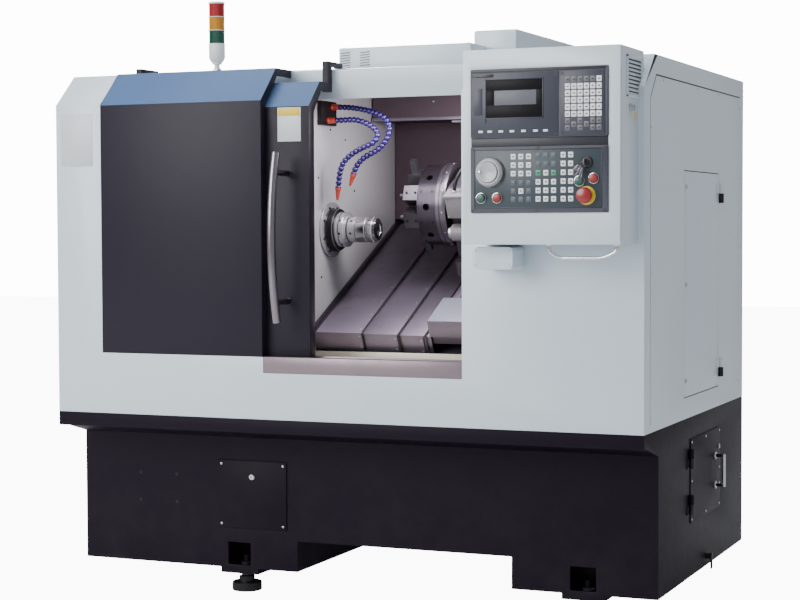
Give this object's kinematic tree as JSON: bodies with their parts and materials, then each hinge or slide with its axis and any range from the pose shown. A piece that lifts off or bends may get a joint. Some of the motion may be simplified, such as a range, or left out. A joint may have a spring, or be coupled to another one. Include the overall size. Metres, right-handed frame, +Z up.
{
  "type": "cnc turning lathe",
  "caption": "Enclosed slant-bed turning lathe with a sliding front door, collet spindle, tool turret on two slides, telescopic way covers and a control box.",
  "frame": {"origin": "on the floor, under the middle of the machine's outer box", "axes": "+X to the operator's right along the spindle, +Y to the back of the machine, +Z up"},
  "size_m": [1.9885, 1.488, 1.9125],
  "materials": {
    "white_paint": "satin",
    "graphite_paint": "satin",
    "base_paint": "semi gloss",
    "interior_paint": "satin",
    "stainless": "brushed",
    "chrome": "polished",
    "machined_steel": "machined",
    "cast_iron": "painted casting",
    "panel_plastic": "fine texture",
    "belt_rubber": "matt",
    "hose_plastic": "gloss",
    "window_glass": "clear",
    "lens_plastic": "translucent",
    "red_button": "gloss",
    "green_button": "gloss"
  },
  "bodies": {
    "root": {"base_frame": "base_paint", "levelling_feet": "machined_steel", "base_access_plate": "base_paint", "coolant_tank": "base_paint", "bed_casting": "cast_iron", "bed_rails": "machined_steel", "headstock": "cast_iron", "spindle_bearings": "machined_steel", "spindle_motor": "cast_iron", "drive_belt": "belt_rubber", "front_panel": "white_paint", "left_panel": "white_paint", "right_panel": "white_paint", "rear_panel": "white_paint", "roof_panel": "white_paint", "outer_cover": "graphite_paint", "door_sill": "stainless", "door_rail": "white_paint", "inner_left_wall": "interior_paint", "inner_back_wall": "interior_paint", "chip_tray": "interior_paint", "roof_vent_box": "white_paint", "roof_hood": "white_paint", "way_cover_1": "stainless", "hose_block": "panel_plastic", "coolant_hoses": "hose_plastic", "control_box": "white_paint", "cnc_unit": "panel_plastic", "operator_panel": "panel_plastic", "box_handle": "chrome", "cable_box": "white_paint", "door_hinges": "panel_plastic", "tower_base": "white_paint", "tower_lenses": "lens_plastic", "tower_cap": "white_paint"},
    "door": {"sliding_door": "graphite_paint", "door_window": "window_glass", "door_handle": "chrome"},
    "spindle": {"spindle_shaft": "machined_steel", "collet": "chrome"},
    "motor_rotor": {"motor_pulley": "machined_steel"},
    "carriage": {"saddle": "cast_iron", "way_cover_4": "stainless"},
    "cover_two": {"way_cover_2": "stainless"},
    "cover_three": {"way_cover_3": "stainless"},
    "slide": {"cross_slide": "cast_iron", "turret_housing": "cast_iron"},
    "turret": {"turret_disc": "machined_steel", "tool_holders": "machined_steel"},
    "side_door": {"side_door": "white_paint"},
    "base_door": {"base_door": "base_paint"},
    "handwheel": {"handwheel": "chrome"},
    "emergency_stop": {"emergency_stop": "red_button"},
    "start_button": {"start_button": "green_button"},
    "hold_button": {"hold_button": "red_button"},
    "power_on_button": {"power_on_button": "green_button"},
    "power_off_button": {"power_off_button": "red_button"},
    "key_switch": {"key_switch": "machined_steel"},
    "box_key": {"box_key": "machined_steel"},
    "drain_valve": {"drain_valve": "machined_steel"}
  },
  "joints": [
    {"name": "door_slide", "type": "slide", "parent": "root", "child": "door", "axis": [1, 0, 0], "range_m": [0, 0.51]},
    {"name": "spindle_spin", "type": "hinge", "parent": "root", "child": "spindle", "pos_m": [-0.195, -0.151, 1.162], "axis": [1, 0, 0], "continuous": true},
    {"name": "motor_spin", "type": "hinge", "parent": "root", "child": "motor_rotor", "pos_m": [-0.595, 0.273, 1.25], "axis": [1, 0, 0], "continuous": true},
    {"name": "carriage_slide", "type": "slide", "parent": "root", "child": "carriage", "axis": [1, 0, 0], "range_m": [-0.135, 0.15]},
    {"name": "cover_two_slide", "type": "slide", "parent": "root", "child": "cover_two", "axis": [1, 0, 0], "range_m": [-0.068, 0.0755]},
    {"name": "cover_three_slide", "type": "slide", "parent": "root", "child": "cover_three", "axis": [1, 0, 0], "range_m": [-0.126, 0.14]},
    {"name": "cross_slide_feed", "type": "slide", "parent": "carriage", "child": "slide", "axis": [0, -0.8988, -0.4384], "range_m": [-0.1, 0.06]},
    {"name": "turret_index", "type": "hinge", "parent": "slide", "child": "turret", "pos_m": [0.15, 0.01029, 1.24115], "axis": [1, 0, 0], "continuous": true},
    {"name": "side_door_hinge", "type": "hinge", "parent": "root", "child": "side_door", "pos_m": [0.963, 0.385, 0.99], "axis": [0, 0, 1], "range_deg": [0, 110]},
    {"name": "base_door_hinge", "type": "hinge", "parent": "root", "child": "base_door", "pos_m": [0.963, -0.005, 0.38], "axis": [0, 0, 1], "range_deg": [-110, 0]},
    {"name": "handwheel_turn", "type": "hinge", "parent": "root", "child": "handwheel", "pos_m": [0.56, -0.71, 1.323], "axis": [0, 1, 0], "continuous": true},
    {"name": "emergency_stop_push", "type": "slide", "parent": "root", "child": "emergency_stop", "axis": [0, 1, 0], "range_m": [0, 0.008]},
    {"name": "start_button_push", "type": "slide", "parent": "root", "child": "start_button", "axis": [0, 1, 0], "range_m": [0, 0.004], "stiffness_N_per_m": 400},
    {"name": "hold_button_push", "type": "slide", "parent": "root", "child": "hold_button", "axis": [0, 1, 0], "range_m": [0, 0.004], "stiffness_N_per_m": 400},
    {"name": "power_on_button_push", "type": "slide", "parent": "root", "child": "power_on_button", "axis": [0, 1, 0], "range_m": [0, 0.004], "stiffness_N_per_m": 400},
    {"name": "power_off_button_push", "type": "slide", "parent": "root", "child": "power_off_button", "axis": [0, 1, 0], "range_m": [0, 0.004], "stiffness_N_per_m": 400},
    {"name": "key_switch_turn", "type": "hinge", "parent": "root", "child": "key_switch", "pos_m": [0.843, -0.71, 1.348], "axis": [0, 1, 0], "range_deg": [0, 90]},
    {"name": "box_key_turn", "type": "hinge", "parent": "root", "child": "box_key", "pos_m": [0.936, -0.607, 1.5], "axis": [1, 0, 0], "range_deg": [0, 90]},
    {"name": "drain_valve_turn", "type": "hinge", "parent": "root", "child": "drain_valve", "pos_m": [0.955, 0.22, 0.11], "axis": [1, 0, 0], "range_deg": [0, 90]}
  ],
  "couplings": [
    {"joint": "motor_spin", "follows": "spindle_spin", "ratio": 1.3571},
    {"joint": "cover_two_slide", "follows": "carriage_slide", "ratio": 0.5},
    {"joint": "cover_three_slide", "follows": "carriage_slide", "ratio": 0.93}
  ]
}
